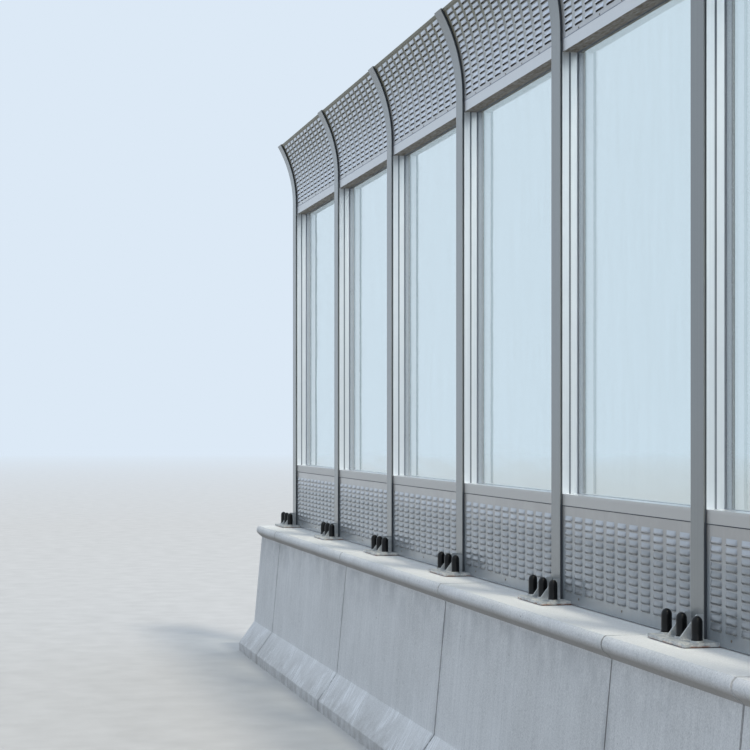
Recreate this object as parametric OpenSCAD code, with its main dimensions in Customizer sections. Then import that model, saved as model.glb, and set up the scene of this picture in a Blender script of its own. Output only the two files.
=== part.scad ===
// Roadside noise barrier: a row of bays on a concrete safety parapet.
// X runs along the row, the road is on the -Y side, and Z is up from the ground.
// The post line is Y = 0, and the first post and bay are at the +X end.

/* [Row] */
// Number of whole bays
bays = 6; // [4:1:6]
// Distance between the centres of two posts
bay_pitch = 2000; // [1900:10:2200]
// Length of parapet past the centre of each end post
end_overrun = 250; // [230:10:400]

/* [Parapet] */
// Height of the flat top above the ground
parapet_h = 1150; // [1000:10:1300]
// Distance from the post line to the foot of the toe
toe_front = 547; // [500:1:620]
// Height of the upright strip at the foot of the toe
toe_reveal = 75; // [50:5:100]
// Height at which the toe meets the steep face
toe_break_h = 270; // [200:10:330]
// Distance from the post line to the foot of the steep face
face_foot = 407; // [395:1:440]
// Distance from the post line to the top of the steep face
face_head = 336; // [325:1:345]
// Distance from the post line to the front edge of the flat top
top_front = 365; // [355:1:375]
// Distance from the post line to the back of the parapet
back = 280; // [240:5:340]
// Radius of the half-round roll along the road edge
roll_r = 45; // [40:1:50]
// Depth of the roll's centre line under the flat top
roll_drop = 38; // [30:1:39]
// Depth under the flat top at which the roll has run into the face
roll_foot = 103; // [95:1:120]
// Chamfer of the back top edge
back_chamfer = 15; // [5:1:25]
// Length of the cast section at the +X end
end_section = 1120; // [800:10:1300]
// Length of the cast section after it
mid_section = 4430; // [3000:10:5000]
// Width of the open joint between two cast sections
joint_w = 20; // [10:1:30]
// Depth of the filler board behind the faces of a joint
filler_set = 22; // [10:1:40]
// Distance between the crack grooves
groove_pitch = 2960; // [2000:10:4000]
// Width of a crack groove
groove_w = 10; // [6:1:20]
// Depth of a crack groove
groove_d = 9; // [5:1:20]

/* [Posts] */
// Depth of the H-section across the row
post_depth = 150; // [140:1:160]
// Width of the flanges along the row
flange_w = 150; // [140:1:160]
// Thickness of the flanges
flange_t = 10; // [8:0.5:14]
// Thickness of the web
web_t = 7; // [6:0.5:10]
// Radius between web and flange
root_r = 8; // [5:0.5:10]
// Radius of the curved head, measured at the road face
bend_r = 1060; // [900:10:1400]
// Length of post that stands above the curved panel
post_proud = 6; // [2:1:20]

/* [Base plates] */
// Length and width of a base plate
plate_l = 440; // [420:5:450]
// Thickness of a base plate
plate_t = 16; // [12:1:30]
// Thickness of the mortar bed under a base plate
bed_t = 4; // [3:1:12]
// Set-back of the mortar bed from the edge of the plate
bed_set = 9; // [4:1:20]
// Corner radius of a base plate
plate_r = 14; // [5:1:30]
// Distance of the anchor rows from the flange faces
anchor_set = 70; // [55:1:85]
// Distance between anchors in a row
anchor_pitch = 178; // [165:1:185]
// Diameter of the thick washer under an anchor cap
washer_d = 58; // [50:1:64]
// Thickness of that washer
washer_t = 8; // [5:1:12]
// Diameter of an anchor cap
cap_d = 49; // [40:1:50]
// Height of an anchor cap
cap_h = 102; // [80:1:130]
// Radius of the rounded edge at the top of a cap
cap_round = 20; // [10:1:22]
// Length of a gusset along the plate
gusset_run = 105; // [80:1:130]
// Height of a gusset
gusset_rise = 105; // [80:5:180]
// Length of the flat top of a gusset
gusset_top = 30; // [10:1:50]
// Thickness of a gusset
gusset_t = 10; // [6:1:14]
// Height of the cut toe of a gusset
gusset_toe = 8; // [4:1:25]

/* [Seals] */
// Thickness of the rubber strip between a flange and what stands in its channel
strip_t = 4; // [3:0.5:8]
// Set-back of the rubber strip from the edge of the flange
strip_set = 3; // [1:0.5:10]
// Thickness of the rubber on each face of a pane
seal_t = 5; // [3:0.5:8]
// Width of seal that shows round a pane
seal_lip = 1; // [0.5:0.5:6]

/* [Louvred panels] */
// Height of a lower panel
lower_h = 500; // [480:5:560]
// Gap under a lower panel
lower_gap = 5; // [2:1:10]
// Length of a curved panel along its face
upper_len = 590; // [580:5:660]
// Straight foot of a curved panel
upper_foot = 35; // [10:1:60]
// Set-back of a panel's end from the web, past the root radius
end_gap = 2; // [1:0.5:5]
// Number of louvre columns
louvre_cols = 11; // [9:1:11]
// Distance between louvre columns
col_pitch = 164; // [150:1:166]
// Length of a louvre
louvre_l = 112; // [90:1:125]
// Rows of louvres in a lower panel
lower_rows = 11; // [8:1:12]
// Rows of louvres in a curved panel
upper_rows = 15; // [10:1:15]
// Distance between rows
row_pitch = 36; // [33:0.5:36]
// Distance from a lower panel's foot to its first slot
lower_first = 62; // [40:1:70]
// Distance from a curved panel's foot to its first slot
upper_first = 30; // [20:1:34]
// How far a hood stands out of the sheet
hood_out = 9; // [5:0.5:11]
// Height of a slot
slot_h = 9; // [6:0.5:10]
// Thickness of the sheet at a hood
sheet_t = 2; // [1:0.25:3]
// Depth of the hollow behind a slot
slot_depth = 14; // [10:1:40]
// How far the sheet of a louvre column lies behind the plain strips
press_set = 0.5; // [0.25:0.25:1]
// Length of the folded strip along the top of a curved panel
hem_l = 20; // [10:1:22]
// How far the folded strip stands out
hem_t = 3; // [1:0.5:4]

/* [Windows] */
// Height of the sill rail
sill_h = 60; // [40:1:80]
// Height of the clear opening
window_h = 2290; // [1800:10:2600]
// Height of the transom
transom_h = 65; // [40:1:90]
// Set-back of a stile's inner face from the edge of the flange
stile_set = 3; // [1:0.5:6]
// Distance from the road face of the frame to the pane
pane_set = 84; // [60:1:88]
// Thickness of a pane
pane_t = 15; // [10:1:16]
// Depth of a pane's edge in the frame
pane_bite = 18; // [12:1:25]
// Gap round the edge of a pane in its groove
pane_gap = 3; // [1:0.5:5]
// Width of the groove along a stile's inner face
stile_groove_w = 9; // [5:0.5:14]
// Depth of the groove along a stile's inner face
stile_groove_d = 7; // [3:0.5:10]
// Distance of that groove from the road face of the frame
stile_groove_at = 41; // [20:1:55]

/* [Hidden] */
$fn = 64;
cut = 1;
posts = bays + 1;
row_l = bays * bay_pitch;
row_end = row_l / 2;
parapet_end = row_end + end_overrun;

// Parapet
roll_chord = sqrt(roll_r * roll_r - roll_drop * roll_drop);
roll_y = roll_chord - top_front;
roll_z = parapet_h - roll_drop;
roll_foot_z = parapet_h - roll_foot;
// The slope under the roll runs just inside its circle and meets it in a shallow edge
roll_in = roll_r - cut;
roll_foot_dist = norm([roll_y + face_head, roll_z - roll_foot_z]);
roll_foot_angle = atan2(roll_foot_z - roll_z, -face_head - roll_y) - acos(roll_in / roll_foot_dist);
roll_meet = [roll_y + roll_in * cos(roll_foot_angle), roll_z + roll_in * sin(roll_foot_angle)];
joint_1 = parapet_end - end_section;
joint_2 = joint_1 - mid_section;

// Channels of the posts, and what stands in them
inner_depth = post_depth - 2 * flange_t;
body_depth = inner_depth - 2 * strip_t;
face_y = -body_depth / 2;
channel_gap = web_t / 2 + root_r + end_gap;
body_l = bay_pitch - 2 * channel_gap;
clear_l = bay_pitch - flange_w;
plate_z = parapet_h + bed_t;
plate_top = plate_z + plate_t;

// Heights and distances at the post's foot
anchor_y = post_depth / 2 + anchor_set;
lower_z = parapet_h + lower_gap;
frame_z = lower_z + lower_h;
frame_h = sill_h + window_h + transom_h;
upper_z = frame_z + frame_h;
bend_z = upper_z + upper_foot;

// Curved head
bend_y = -post_depth / 2 - bend_r;
sheet_r = bend_r + flange_t + strip_t;
panel_angle = (upper_len - upper_foot) / sheet_r * 180 / PI;
post_angle = panel_angle + post_proud / bend_r * 180 / PI;
axis_r = bend_r + post_depth / 2;

// Windows
window_l = clear_l + 2 * stile_set;
window_z = frame_z + sill_h;
pane_y = face_y + pane_set;
pane_l = window_l + 2 * (pane_bite - pane_gap);
pane_h = window_h + 2 * (pane_bite - pane_gap);

sections = 3;

concrete = [0.66, 0.67, 0.68];
steel = [0.52, 0.56, 0.58];
aluminium = [0.74, 0.78, 0.82];
sheet = [0.62, 0.67, 0.71];
rubber = [0.1, 0.1, 0.11];
mortar = [0.42, 0.41, 0.39];
clear = [0.75, 0.85, 0.88, 0.4];

function post_x(i) = row_end - (i - 1) * bay_pitch;
function bay_x(i) = row_end - (i - 0.5) * bay_pitch;

// Place of a point on a curved panel: s along its face from the foot, d behind the face
function head_angle(s) = max(0, s - upper_foot) / sheet_r * 180 / PI;
function on_head(s, d) =
    let (a = head_angle(s), r = sheet_r + d)
    [bend_y + r * cos(a), bend_z + r * sin(a) + min(0, s - upper_foot)];

// Place of a point on a lower panel, in the same terms
function on_wall(s, d) = [face_y + d, lower_z + s];

// Outline of one column of louvres, up over each slot: its sill, the back of its
// hollow, the inside of its hood, the lip and the slope of the hood
function louvre_path(rows, first) = [
    for (i = [0 : rows - 1])
        let (low = first + i * row_pitch - slot_h / 2, lip = low + slot_h, top = low + row_pitch)
        for (p = [
            [low, press_set],
            [low, slot_depth],
            [top - sheet_t, press_set + sheet_t],
            [lip, sheet_t - hood_out],
            [lip, -hood_out],
            if (i == rows - 1) [top, press_set]
        ]) p
];

// A Y-Z outline carried along the row, centred on x = 0
module along_row(length) {
    rotate([90, 0, 90])
        linear_extrude(length, center = true)
            children();
}

// A section in radial distance and X, turned about the axis of the curved head
module round_head(from_angle, to_angle) {
    translate([0, bend_y, bend_z])
        rotate([90, 0, 90])
            rotate([0, 0, from_angle])
                rotate_extrude(angle = to_angle - from_angle, $fn = 180)
                    children();
}

// Parapet with its toe, steep face, roll and flat top
module parapet_bar(length) {
    along_row(length)
        parapet_outline();
    along_row(length)
        roll_outline();
}

module parapet_outline() {
    polygon([
        [-toe_front, 0],
        [-toe_front, toe_reveal],
        [-face_foot, toe_break_h],
        [-face_head, roll_foot_z],
        roll_meet,
        [roll_y, roll_z],
        [roll_y, parapet_h],
        [back - back_chamfer, parapet_h],
        [back, parapet_h - back_chamfer],
        [back, 0]
    ]);
}

module roll_outline() {
    intersection() {
        translate([roll_y, roll_z])
            circle(r = roll_r);
        translate([-2 * top_front, 0])
            square([2 * top_front, parapet_h]);
    }
}

// The same bar drawn in by d at the road face, the top and the back
module sunk_bar(length, d) {
    intersection() {
        translate([0, d, -d])
            parapet_bar(length);
        translate([0, -d, -d])
            parapet_bar(length);
        translate([0, d, 0])
            parapet_bar(length);
    }
}

module parapet(x_low, x_high) {
    color(concrete)
        difference() {
            translate([(x_low + x_high) / 2, 0, 0])
                parapet_bar(x_high - x_low);
            for (x = [joint_2 + groove_pitch : -groove_pitch : -parapet_end + groove_w])
                if (x < x_high - groove_w && x > x_low + groove_w)
                    translate([x, 0, 0])
                        groove();
        }
}

module groove() {
    difference() {
        translate([-groove_w / 2, -2 * toe_front, -cut])
            cube([groove_w, 4 * toe_front, parapet_h + 2 * cut]);
        sunk_bar(groove_w + 2 * cut, groove_d);
        translate([-groove_w, -toe_front + groove_d, -2 * cut])
            cube([2 * groove_w, toe_front + back - 2 * groove_d, 3 * cut]);
    }
}

module joint_fillers() {
    color(rubber)
        for (x = [joint_1, joint_2])
            translate([x, 0, 0])
                sunk_bar(joint_w, filler_set);
}

// H-section: x across the row from the post line, y along the row
module post_section() {
    for (side = [-1, 1])
        translate([side * (post_depth - flange_t) / 2, 0])
            square([flange_t, flange_w], center = true);
    square([inner_depth + 2 * cut, web_t], center = true);
    for (side_x = [-1, 1], side_y = [-1, 1])
        scale([side_x, side_y])
            translate([-inner_depth / 2, web_t / 2])
                root_fillet();
}

module root_fillet() {
    difference() {
        translate([-cut / 2, -cut / 2])
            square(root_r + cut / 2);
        translate([root_r, root_r])
            circle(r = root_r);
    }
}

module post(i) {
    color(steel)
        translate([post_x(i), 0, 0]) {
            translate([0, 0, plate_top])
                linear_extrude(bend_z - plate_top)
                    rotate(90)
                        post_section();
            round_head(0, post_angle)
                translate([axis_r, 0])
                    post_section();
        }
}

module base_plate(i) {
    color(steel)
        translate([post_x(i), 0, 0]) {
            translate([0, 0, plate_z])
                linear_extrude(plate_t)
                    plate_outline(plate_l);
            for (side = [-1, 1], n = [-1, 0, 1])
                translate([n * anchor_pitch, side * anchor_y, plate_top - cut])
                    cylinder(d = washer_d, h = washer_t + cut);
            for (side_x = [-1, 1], side_y = [-1, 1])
                scale([side_x, side_y, 1])
                    translate([(flange_w - gusset_t) / 2, 0, 0])
                        along_row(gusset_t)
                            gusset_outline();
        }
}

// Square plate with rounded corners
module plate_outline(length) {
    inner = length - 2 * plate_r;
    square([length, inner], center = true);
    square([inner, length], center = true);
    for (x = [-inner / 2, inner / 2], y = [-inner / 2, inner / 2])
        translate([x, y])
            circle(r = plate_r);
}

module gusset_outline() {
    root = post_depth / 2;
    polygon([
        [root, plate_top - cut],
        [root, plate_top + gusset_rise],
        [root + gusset_top, plate_top + gusset_rise],
        [root + gusset_run, plate_top + gusset_toe],
        [root + gusset_run, plate_top - cut]
    ]);
}

module mortar_beds() {
    color(mortar)
        for (i = [1 : posts])
            translate([post_x(i), 0, parapet_h])
                linear_extrude(bed_t)
                    plate_outline(plate_l - 2 * bed_set);
}

module anchor_caps() {
    color(rubber)
        for (i = [1 : posts], side = [-1, 1], n = [-1, 0, 1])
            translate([post_x(i) + n * anchor_pitch, side * anchor_y, plate_top + washer_t])
                anchor_cap();
}

// Tube with a rounded top edge
module anchor_cap() {
    r = cap_d / 2;
    rotate_extrude()
        union() {
            square([r, cap_h - cap_round]);
            square([r - cap_round, cap_h]);
            translate([r - cap_round, cap_h - cap_round])
                intersection() {
                    circle(r = cap_round);
                    square(cap_round);
                }
        }
}

// Rubber strips in the channels, along the inner faces of both flanges
module edge_strips() {
    strip_l = (flange_w - web_t) / 2 - root_r - strip_set;
    strip_x = web_t / 2 + root_r + strip_l / 2;
    color(rubber)
        for (i = [1 : bays], end = [-1, 1], side = [-1, 1])
            translate([bay_x(i) + end * (bay_pitch / 2 - strip_x), 0, 0]) {
                y = side * (inner_depth - strip_t) / 2;
                translate([-strip_l / 2, y - strip_t / 2, plate_top])
                    cube([strip_l, strip_t, bend_z - plate_top]);
                round_head(0, panel_angle)
                    translate([axis_r + y - strip_t / 2, -strip_l / 2])
                        square([strip_t, strip_l]);
            }
}

// Hollows and slopes of all louvre columns of one panel, as bodies to cut away
module louvre_cuts(points) {
    first_x = -(louvre_cols - 1) / 2 * col_pitch;
    for (n = [0 : louvre_cols - 1])
        translate([first_x + n * col_pitch, 0, 0])
            along_row(louvre_l)
                polygon(points);
}

// X ranges of the plain strips between the louvre columns
function plain_strips() = [
    for (n = [0 : louvre_cols])
        let (x = -louvre_cols / 2 * col_pitch + n * col_pitch, half = (col_pitch - louvre_l) / 2)
        [n == 0 ? -body_l : x - half, n == louvre_cols ? body_l : x + half]
];

module lower_panel(i) {
    front = face_y - hood_out - cut;
    notch_l = body_l / 2 - (bay_pitch - plate_l) / 2 + cut;
    path = louvre_path(lower_rows, lower_first);
    air = concat(
        [for (s = [lower_h + cut, -cut]) on_wall(s, -hood_out - 2 * cut)],
        [on_wall(-cut, press_set)],
        [for (p = path) on_wall(p[0], p[1])],
        [on_wall(lower_h + cut, press_set)]
    );
    color(sheet)
        translate([bay_x(i), 0, 0])
            difference() {
                translate([-body_l / 2, front, lower_z])
                    cube([body_l, body_depth + face_y - front, lower_h]);
                louvre_cuts(air);
                for (range = plain_strips())
                    translate([range[0], front - cut, lower_z - cut])
                        cube([range[1] - range[0], face_y - front + cut, lower_h + 2 * cut]);
                for (side = [-1, 1])
                    translate([side * body_l / 2, 0, lower_z])
                        cube([2 * notch_l, 2 * body_depth, 2 * (plate_top - lower_z)], center = true);
            }
}

module window_frame(i) {
    groove_depth = pane_t + 2 * seal_t;
    color(aluminium)
        translate([bay_x(i), 0, 0])
            difference() {
                translate([-body_l / 2, face_y, frame_z])
                    cube([body_l, body_depth, frame_h]);
                translate([-window_l / 2, face_y - cut, window_z])
                    cube([window_l, body_depth + 2 * cut, window_h]);
                translate([-window_l / 2 - pane_bite, pane_y - seal_t, window_z - pane_bite])
                    cube([window_l + 2 * pane_bite, groove_depth, window_h + 2 * pane_bite]);
                for (side = [-1, 1])
                    translate([side * window_l / 2, face_y + stile_groove_at, window_z + window_h / 2])
                        cube([2 * stile_groove_d, stile_groove_w, window_h], center = true);
            }
}

module pane(i) {
    color(clear)
        translate([bay_x(i) - pane_l / 2, pane_y, window_z - pane_bite + pane_gap])
            cube([pane_l, pane_t, pane_h]);
}

module pane_seals() {
    color(rubber)
        for (i = [1 : bays], y = [pane_y - seal_t, pane_y + pane_t])
            translate([bay_x(i), y, window_z + window_h / 2])
                seal_ring();
}

module seal_ring() {
    outer_l = window_l + 2 * pane_bite;
    outer_h = window_h + 2 * pane_bite;
    inner_l = window_l - 2 * seal_lip;
    inner_h = window_h - 2 * seal_lip;
    difference() {
        translate([-outer_l / 2, 0, -outer_h / 2])
            cube([outer_l, seal_t, outer_h]);
        translate([-inner_l / 2, -cut, -inner_h / 2])
            cube([inner_l, seal_t + 2 * cut, inner_h]);
    }
}

module curved_panel(i) {
    front_r = sheet_r - hood_out - cut;
    hem_angle = hem_l / sheet_r * 180 / PI;
    path = louvre_path(upper_rows, upper_first);
    air = concat(
        [for (s = [upper_len + 2 * hem_l : -row_pitch : upper_foot]) on_head(s, -hood_out - 2 * cut)],
        [on_head(-cut, -hood_out - 2 * cut), on_head(-cut, press_set)],
        [for (p = path) on_head(p[0], p[1])],
        [for (s = [upper_len - hem_l, upper_len + 2 * hem_l]) on_head(s, press_set)]
    );
    color(sheet)
        translate([bay_x(i), 0, 0]) {
            difference() {
                union() {
                    translate([-body_l / 2, face_y - hood_out - cut, upper_z])
                        cube([body_l, body_depth + hood_out + cut, upper_foot]);
                    round_head(0, panel_angle)
                        translate([front_r, -body_l / 2])
                            square([sheet_r + body_depth - front_r, body_l]);
                }
                louvre_cuts(air);
                for (range = plain_strips()) {
                    translate([range[0], face_y - hood_out - 2 * cut, upper_z - cut])
                        cube([range[1] - range[0], hood_out + 2 * cut, upper_foot + cut]);
                    round_head(0, panel_angle + hem_angle)
                        translate([front_r - cut, range[0]])
                            square([sheet_r - front_r + cut, range[1] - range[0]]);
                }
            }
            round_head(panel_angle - hem_angle, panel_angle)
                translate([sheet_r - hem_t, -clear_l / 2 + strip_set])
                    square([body_depth / 2, clear_l - 2 * strip_set]);
        }
}

parapet(joint_1 + joint_w / 2, parapet_end);  // parapet_1
parapet(joint_2 + joint_w / 2, joint_1 - joint_w / 2);  // parapet_2
parapet(-parapet_end, joint_2 - joint_w / 2);  // parapet_3
joint_fillers();
for (i = [1 : posts]) {
    post(i);
    base_plate(i);
}
mortar_beds();
anchor_caps();
edge_strips();
for (i = [1 : bays]) {
    lower_panel(i);
    window_frame(i);
    pane(i);
    curved_panel(i);
}
pane_seals();
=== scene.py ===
import bpy
import functools
import math
import numpy as np
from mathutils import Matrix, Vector


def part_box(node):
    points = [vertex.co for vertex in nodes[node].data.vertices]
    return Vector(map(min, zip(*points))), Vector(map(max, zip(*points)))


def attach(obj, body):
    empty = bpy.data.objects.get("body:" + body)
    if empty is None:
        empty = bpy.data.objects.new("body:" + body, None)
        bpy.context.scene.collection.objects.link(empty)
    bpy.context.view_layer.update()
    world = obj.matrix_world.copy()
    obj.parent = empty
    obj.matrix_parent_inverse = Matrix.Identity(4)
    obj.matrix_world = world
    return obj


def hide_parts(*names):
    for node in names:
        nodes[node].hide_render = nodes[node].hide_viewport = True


# Highway noise barrier, dressed for its picture. Metres: X runs along the row, the front
# is the -Y side, to which the heads lean, and Z is up from the ground.
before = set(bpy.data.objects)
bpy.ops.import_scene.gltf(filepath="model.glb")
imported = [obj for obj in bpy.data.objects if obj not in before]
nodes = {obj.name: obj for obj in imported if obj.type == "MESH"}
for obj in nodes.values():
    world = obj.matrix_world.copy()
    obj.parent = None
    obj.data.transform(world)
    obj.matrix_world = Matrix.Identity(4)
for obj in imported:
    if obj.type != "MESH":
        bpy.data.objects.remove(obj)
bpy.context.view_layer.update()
print("frame: %d nodes" % len(nodes))


# Small tools

def linear(hexColour):
    # An sRGB hex colour as linear light: c / 12.92 up to 0.04045, above it
    # ((c + 0.055) / 1.055) to the power 2.4
    srgb = np.array([int(hexColour[i:i + 2], 16) for i in (1, 3, 5)]) / 255
    light = np.where(srgb <= 0.04045, srgb / 12.92, ((srgb + 0.055) / 1.055) ** 2.4)
    return (*light.tolist(), 1.0)


def addNode(tree, kind, *given, stops=()):
    # One node, given its settings, if it has any, and then its inputs, and on a colour
    # ramp its stops as (place, hex colour). An input is a number, a hex colour, a socket,
    # or another node, which gives its first live output.
    node = tree.nodes.new("ShaderNode" + kind)
    *settings, inputs = given or [{}]
    for setting in settings:
        for name, value in setting.items():
            setattr(node, name, value)
    for key, value in inputs.items():
        if isinstance(value, bpy.types.Node):
            value = next(out for out in value.outputs if out.enabled)
        if isinstance(value, bpy.types.NodeSocket):
            tree.links.new(value, node.inputs[key])
        else:
            node.inputs[key].default_value = linear(value) if isinstance(value, str) else value
    if stops:
        ramp = node.color_ramp.elements
        while len(ramp) < len(stops):
            ramp.new(1.0)
        for element, (place, colour) in zip(ramp, stops):
            element.position = place
            element.color = linear(colour)
    return node


times = {"operation": "MULTIPLY"}
less = {"operation": "SUBTRACT"}
larger = {"operation": "MAXIMUM"}
amounts = {"data_type": "FLOAT"}     # a Mix node's amount is input 0, its numbers 2 and 3
colours = {"data_type": "RGBA"}      # and its colours 6 and 7
overlay = {"data_type": "RGBA", "blend_type": "OVERLAY"}


def perMetre(millimetres):
    # Pattern scale, 1000 / size, whose repeat has that size: one number or one for each axis
    return (1000 / np.array(millimetres)).tolist()


def makeFinish(name, surface, *choices):
    # A material with the surface that a function builds, given the call that adds a node
    # and the object's own coordinates
    finish = bpy.data.materials.new(name)
    finish.use_nodes = True
    finish.node_tree.nodes.clear()
    add = functools.partial(addNode, finish.node_tree)
    shader = surface(add, add("TexCoord").outputs["Object"], *choices)
    add("OutputMaterial", {"Surface": shader})
    return finish


def newPiece(name, shape, finish, smooth=False, surface=None):
    # shape is points in millimetres and groups of faces; surface numbers the first
    # faces for their finish, and a face numbered 1 is also shaded smooth
    points, groups = shape
    mesh = bpy.data.meshes.new(name)
    mesh.from_pydata((points / 1000).tolist(), [], sum((group.tolist() for group in groups), []))
    mesh.materials.append(finish)
    soft = np.full(len(mesh.polygons), smooth)
    if surface is not None:
        number = np.zeros(len(mesh.polygons), np.float32)
        number[:len(surface)] = surface
        mesh.attributes.new("surface", "FLOAT", "FACE").data.foreach_set("value", number)
        soft = number == 1
    mesh.polygons.foreach_set("use_smooth", soft)
    mesh.update()
    piece = bpy.data.objects.new(name, mesh)
    bpy.context.scene.collection.objects.link(piece)
    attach(piece, "root")
    return piece


def repeated(shape, places):
    # The same shape at each place: every place is added to every point, and each
    # copy's corner numbers follow on from the last copy's
    points, groups = shape
    places = np.asarray(places, float)
    many = (points[None] + places[:, None]).reshape(-1, 3)
    step = len(points) * np.arange(len(places))[:, None, None]
    return many, [(group[None] + step).reshape(-1, group.shape[1]) for group in groups]


def joined(*shapes):
    # Several shapes as one, each one's corner numbers following on from the last one's
    counts = np.cumsum([0] + [len(points) for points, groups in shapes])
    return (np.vstack([points for points, groups in shapes]),
            [group + count for (points, groups), count in zip(shapes, counts) for group in groups])


def turned(profile, sides, towardsFront=False):
    # A closed turned shape: profile rows are (radius, height), first and last on the
    # axis. Point = (radius cos a, radius sin a, height) on rings of equal angles a,
    # with one point at each pole. The axis is upright, or else points along -Y.
    profile = np.asarray(profile, float)
    angle = np.linspace(0, 2 * np.pi, sides, endpoint=False)
    rings = profile[1:-1]
    grid = np.stack([
        rings[:, :1] * np.cos(angle), rings[:, :1] * np.sin(angle),
        np.repeat(rings[:, 1:], sides, 1)], 2).reshape(-1, 3)
    points = np.vstack([grid, [[0, 0, profile[0, 1]], [0, 0, profile[-1, 1]]]])
    k = np.arange(sides)
    after = (k + 1) % sides
    ring = np.arange(len(rings) - 1)[:, None] * sides
    quads = np.stack([ring + k, ring + after, ring + sides + after, ring + sides + k], 2)
    last = (len(rings) - 1) * sides
    poles = np.vstack([
        np.stack([after, k, np.full(sides, len(grid))], 1),
        np.stack([last + k, last + after, np.full(sides, len(grid) + 1)], 1)])
    if towardsFront:
        points = points[:, [0, 2, 1]] * [1, -1, 1]
    return points, [quads.reshape(-1, 4), poles]


def carried(outline, stations):
    # A closed outline (u, v), counter-clockwise seen from the far end, carried straight
    # along the stations w, with flat ends. Point = (w, u, v).
    n, m = len(outline), len(stations)
    points = np.column_stack([np.repeat(stations, n), np.tile(outline, (m, 1))]).astype(float)
    k = np.arange(n)
    ring = n * np.arange(m - 1)[:, None]
    after = (k + 1) % n
    sides = np.stack([ring + k, ring + after, ring + n + after, ring + n + k], 2)
    return points, [sides.reshape(-1, 4), np.stack([k[::-1], n * (m - 1) + k])]


def block(lowCorner, highCorner):
    # A closed box between two corners
    (x0, y0, z0), (x1, y1, z1) = lowCorner, highCorner
    return carried([(y0, z0), (y1, z0), (y1, z1), (y0, z1)], (x0, x1))


# Places taken from the frame, in millimetres

row = {
    "bays": 6,
    "pitch": 2000,
    "postHalf": 75,      # half the depth and half the width of a post
    "plateTop": 1170,
    "washerTop": 1178,
    "faceY": -61,        # front face of what stands in the channels
    "bodyDepth": 122,
    "bodyLength": 1973,
    "clearHalf": 925,    # half the clear length between two posts' flanges
}
postXs = (np.arange(row["bays"] + 1) - row["bays"] / 2) * row["pitch"]
bayXs = (np.arange(row["bays"]) - (row["bays"] - 1) / 2) * row["pitch"]
inEachBay = [(x, 0, 0) for x in bayXs]

# Faces that run straight up and then bend forward: Y and Z of the foot, the straight
# length and the radius of the bend
postFace = {"y": -75, "z": 1170, "straight": 2935, "radius": 1060}
lowerFace = {"y": -61, "z": 1155, "straight": 9000, "radius": 1074}
headFace = {"y": -61, "z": 4070, "straight": 35, "radius": 1074}


def onFace(shape, face, centre):
    # (x, s, d) to (X, Y, Z), with s the distance up the face and d the depth behind it.
    # Past the straight part the angle is a = (s - straight) / radius, and below it 0:
    # Y = y - radius + (radius + d) cos a, Z = z + min(s, straight) + (radius + d) sin a.
    points, groups = shape
    x, s, d = points.T
    angle = np.maximum(0, s - face["straight"]) / face["radius"]
    reach = face["radius"] + d
    return np.column_stack([
        x + centre, face["y"] - face["radius"] + reach * np.cos(angle),
        face["z"] + np.minimum(s, face["straight"]) + reach * np.sin(angle)]), groups


# Camera: 2 m up and 3 m in front of the row, past its near end, level, looking along it

camera = {
    "place": (11.9165, -3.170, 2.059),
    "turn": 12.13,       # degrees off the row towards it
    "lens": 95.2,
    "sensor": 36,
    "shiftUp": 0.0699,
    "sight": 500,        # metres to which it sees
}
turn = math.radians(camera["turn"])
lens = bpy.data.cameras.new("camera")
lens.lens = camera["lens"]
lens.sensor_width = camera["sensor"]
lens.sensor_fit = "HORIZONTAL"
lens.shift_y = camera["shiftUp"]
lens.clip_end = camera["sight"]
eye = bpy.data.objects.new("camera", lens)
eye.location = camera["place"]
alongRow = Vector((-math.cos(turn), math.sin(turn), 0))
eye.rotation_euler = alongRow.to_track_quat("-Z", "Y").to_euler()
bpy.context.scene.collection.objects.link(eye)
bpy.context.scene.camera = eye
bpy.context.scene.view_settings.view_transform = "Standard"
print("camera set")


# Stage: plain pale floor, even backdrop, a main lamp from high up, a little behind the
# row, and a broad weak one from low down along it

stage = {
    "floorHalf": 220,     # metres from the middle to the floor's edge
    "floor": "#C6C5C2",
    "floorGrain": "#BDBCB9",
    "grain": 300,         # millimetres
    "floorBounce": "#8C8B89",
    "backdrop": "#DCE9F6",
    "backdropLight": "#DCEAFB",
    "backdropStrength": 1.0,
    # strength, colour, degrees across and direction of each lamp, seen from the barrier
    "mainLamp": (1.58, "#FFF3E2", 8, (0.6, 0.19, 1.0)),
    "sideLamp": (0.5, "#FFFAF2", 30, (1.0, 0.16, 0.36)),
    "fadeFrom": 30,       # metres from the middle at which the floor starts to fade out
    "fadeTo": 140,
}


def seenDirectly(add):
    # 1 for what the camera, a reflection or a clear pane shows, 0 for light on a surface
    path = add("LightPath").outputs
    return add("Math", larger, {0: path["Is Camera Ray"], 1: add("Math", larger, {
        0: path["Is Glossy Ray"], 1: path["Is Transmission Ray"]})})


def screed(add, coords):
    # Screeded floor, matte: seen pale, but it throws back only the light of a mid grey,
    # and far away it fades into the backdrop
    seen = seenDirectly(add)
    grain = add("TexNoise", {
        "Vector": coords, "Scale": perMetre(stage["grain"]), "Detail": 4})
    pale = add("Mix", colours, {
        0: add("MapRange", {0: grain, 1: 0.3, 2: 0.7}),
        6: stage["floor"], 7: stage["floorGrain"]})
    shader = add("BsdfPrincipled", {
        "Base Color": add("Mix", colours, {0: seen, 6: stage["floorBounce"], 7: pale}),
        "Roughness": 0.9, "Specular IOR Level": 0.2})
    away = add("VectorMath", {"operation": "LENGTH"}, {0: coords})
    far = add("MapRange", {0: away, 1: stage["fadeFrom"], 2: stage["fadeTo"]})
    glow = add("Emission", {"Color": stage["backdrop"], "Strength": seen})
    return add("MixShader", {0: far, 1: shader, 2: glow})


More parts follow.
